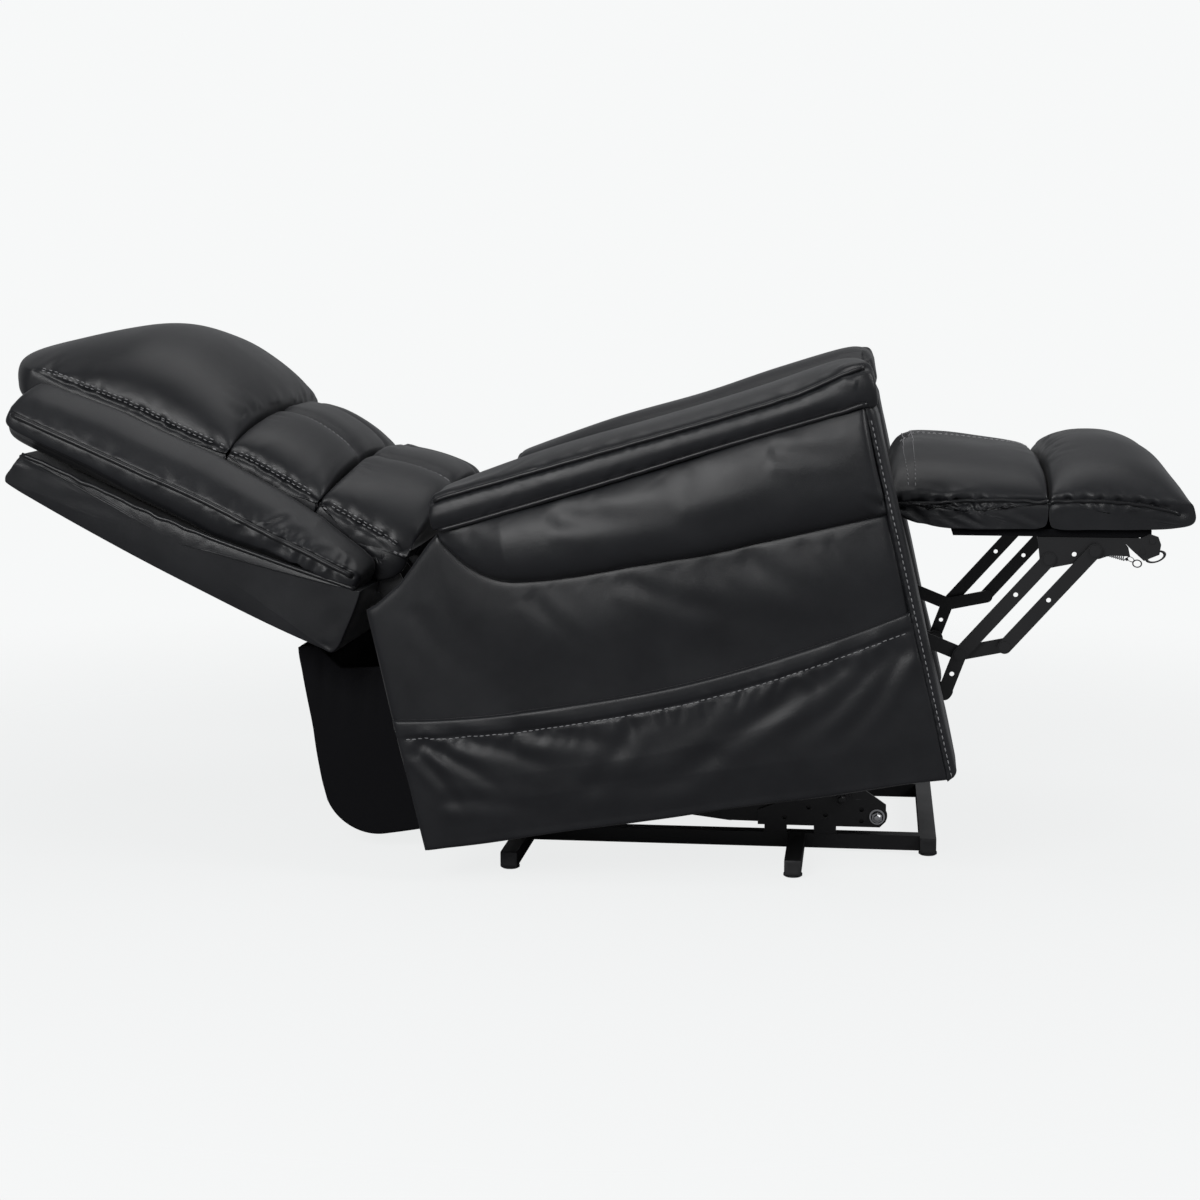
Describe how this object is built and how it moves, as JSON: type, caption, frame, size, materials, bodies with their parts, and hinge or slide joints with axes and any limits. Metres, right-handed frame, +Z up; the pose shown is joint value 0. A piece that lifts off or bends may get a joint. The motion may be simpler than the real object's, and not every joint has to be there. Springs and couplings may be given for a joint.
{
  "type": "lift recliner chair",
  "caption": "Leather lift recliner chair on a steel base, reclined, with padded arms, a cushioned back and a folding footrest on scissor links.",
  "frame": {"origin": "on the floor, in the middle of the chair's length and width as it lies reclined with the footrest out", "axes": "+X to the front of the chair, +Y to the occupant's left, +Z up"},
  "size_m": [1.7384, 0.914, 0.7754],
  "materials": {
    "black_steel": "black powder paint, satin, with light scuffs",
    "zinc_steel": "zinc plated, dull bright",
    "black_plastic": "moulded, matt",
    "timber": "plain sawn board",
    "padded_leather": null,
    "leather": "smooth black leather, fine grain",
    "black_cloth": "black upholstery cloth with a leather edge"
  },
  "bodies": {
    "base": {"base_rails": "black_steel", "front_cross_tube": "black_steel", "rear_cross_tube": "black_steel", "front_outriggers": "black_steel", "rear_outriggers": "black_steel", "glide_cups": "black_plastic", "glide_feet": "zinc_steel", "riser_plates": "black_steel", "riser_blocks": "black_steel", "lift_pivot_bolts": "zinc_steel"},
    "lower_lift_link": {"lower_lift_links": "black_steel", "lift_link_tube": "black_steel", "lift_levers": "black_steel"},
    "upper_lift_link": {"upper_lift_links": "black_steel"},
    "lift_frame": {"lift_frame_plates": "black_steel", "lift_frame_rear_tube": "black_steel", "lift_frame_front_tube": "black_steel", "lift_frame_pins": "zinc_steel"},
    "lift_housing": {"lift_motor": "black_plastic", "lift_actuator_tube": "black_steel"},
    "lift_rod": {"lift_actuator_rod": "zinc_steel"},
    "seat": {"mechanism_plates": "black_steel", "back_uprights": "black_steel", "seat_front_tube": "black_steel", "seat_rear_tube": "black_steel", "tilt_brackets": "black_steel", "footrest_studs": "zinc_steel", "seat_box_boards": "timber", "seat_springs": "zinc_steel", "seat_cushion": "padded_leather", "arm_brackets": "black_steel", "arm_frames": "timber", "arm_inner_panels": "padded_leather", "side_panels": "padded_leather", "upper_side_panels": "padded_leather", "pocket_panels": "leather", "arm_front_bands": "padded_leather", "arm_pads": "padded_leather", "rear_apron": "black_cloth", "power_box": "black_plastic"},
    "recline_housing": {"recline_motor": "black_plastic", "recline_actuator_tube": "black_steel"},
    "recline_rod": {"recline_actuator_rod": "zinc_steel"},
    "back": {"back_brackets": "black_steel", "back_posts": "timber", "back_rails": "timber", "back_shell": "padded_leather", "wing_bolsters": "padded_leather", "head_cushion": "padded_leather", "upper_lumbar_cushion": "padded_leather", "lower_lumbar_cushion": "padded_leather"},
    "front_footrest_link": {"front_footrest_links": "black_steel"},
    "outer_scissor_link": {"outer_scissor_links": "black_steel"},
    "inner_scissor_link": {"inner_scissor_links": "black_steel"},
    "rear_footrest_link": {"rear_footrest_links": "black_steel"},
    "footrest": {"footrest_brackets": "black_steel", "bracket_springs": "zinc_steel", "footrest_board": "timber", "chaise_pad": "padded_leather", "footrest_roll": "padded_leather"}
  },
  "joints": [
    {"name": "lift", "type": "hinge", "parent": "base", "child": "lower_lift_link", "pos_m": [0.436, 0, 0.054], "axis": [0, 1, 0], "range_deg": [0, 58]},
    {"name": "upper_lift_link_turn", "type": "hinge", "parent": "base", "child": "upper_lift_link", "pos_m": [0.383, 0, 0.082], "axis": [0, 1, 0], "range_deg": [0, 45.09]},
    {"name": "lift_frame_turn", "type": "hinge", "parent": "lower_lift_link", "child": "lift_frame", "pos_m": [0.21802, 0, 0.05666], "axis": [0, 1, 0], "range_deg": [-28.2, 0]},
    {"name": "lift_housing_turn", "type": "hinge", "parent": "lift_frame", "child": "lift_housing", "pos_m": [-0.095, 0, 0.15], "axis": [0, 1, 0], "range_deg": [-1.2, 0]},
    {"name": "lift_rod_slide", "type": "slide", "parent": "lift_housing", "child": "lift_rod", "axis": [0.991, 0, 0.1337], "range_m": [0, 0.068]},
    {"name": "seat_tilt", "type": "hinge", "parent": "lift_frame", "child": "seat", "pos_m": [-0.14, 0, 0.1], "axis": [0, 1, 0], "range_deg": [0, 9.55]},
    {"name": "recline", "type": "hinge", "parent": "seat", "child": "back", "pos_m": [-0.27989, 0, 0.40033], "axis": [0, 1, 0], "range_deg": [0, 40]},
    {"name": "recline_housing_turn", "type": "hinge", "parent": "seat", "child": "recline_housing", "pos_m": [0.29608, 0, 0.27873], "axis": [0, 1, 0], "range_deg": [0, 1]},
    {"name": "recline_rod_slide", "type": "slide", "parent": "recline_housing", "child": "recline_rod", "axis": [-0.996, 0, 0.0896], "range_m": [0, 0.048]},
    {"name": "footrest_fold", "type": "hinge", "parent": "seat", "child": "front_footrest_link", "pos_m": [0.39829, 0, 0.37197], "axis": [0, 1, 0], "range_deg": [0, 85]},
    {"name": "outer_scissor_turn", "type": "hinge", "parent": "front_footrest_link", "child": "outer_scissor_link", "pos_m": [0.54802, 0, 0.31197], "axis": [0, 1, 0], "range_deg": [-107.5, 0]},
    {"name": "inner_scissor_turn", "type": "hinge", "parent": "front_footrest_link", "child": "inner_scissor_link", "pos_m": [0.61052, 0, 0.32497], "axis": [0, 1, 0], "range_deg": [-107.5, 0]},
    {"name": "rear_footrest_link_turn", "type": "hinge", "parent": "seat", "child": "rear_footrest_link", "pos_m": [0.39557, 0, 0.28645], "axis": [0, 1, 0], "range_deg": [0, 96]},
    {"name": "footrest_turn", "type": "hinge", "parent": "outer_scissor_link", "child": "footrest", "pos_m": [0.66954, 0, 0.45], "axis": [0, 1, 0], "range_deg": [0, 107.5]}
  ],
  "couplings": [
    {"joint": "upper_lift_link_turn", "follows": "lift", "ratio": 0.774},
    {"joint": "lift_frame_turn", "follows": "lift", "ratio": -0.48276},
    {"joint": "lift_housing_turn", "follows": "lift", "ratio": -0.017541},
    {"joint": "lift_rod_slide", "follows": "lift", "m_per_rad": 0.066721},
    {"joint": "seat_tilt", "follows": "recline", "ratio": 0.2375},
    {"joint": "recline_housing_turn", "follows": "recline", "ratio": 0.019183},
    {"joint": "recline_rod_slide", "follows": "recline", "m_per_rad": 0.06773},
    {"joint": "outer_scissor_turn", "follows": "footrest_fold", "ratio": -1.2618},
    {"joint": "inner_scissor_turn", "follows": "footrest_fold", "ratio": -1.2618},
    {"joint": "rear_footrest_link_turn", "follows": "footrest_fold", "ratio": 1.1281},
    {"joint": "footrest_turn", "follows": "footrest_fold", "ratio": 1.2618}
  ]
}
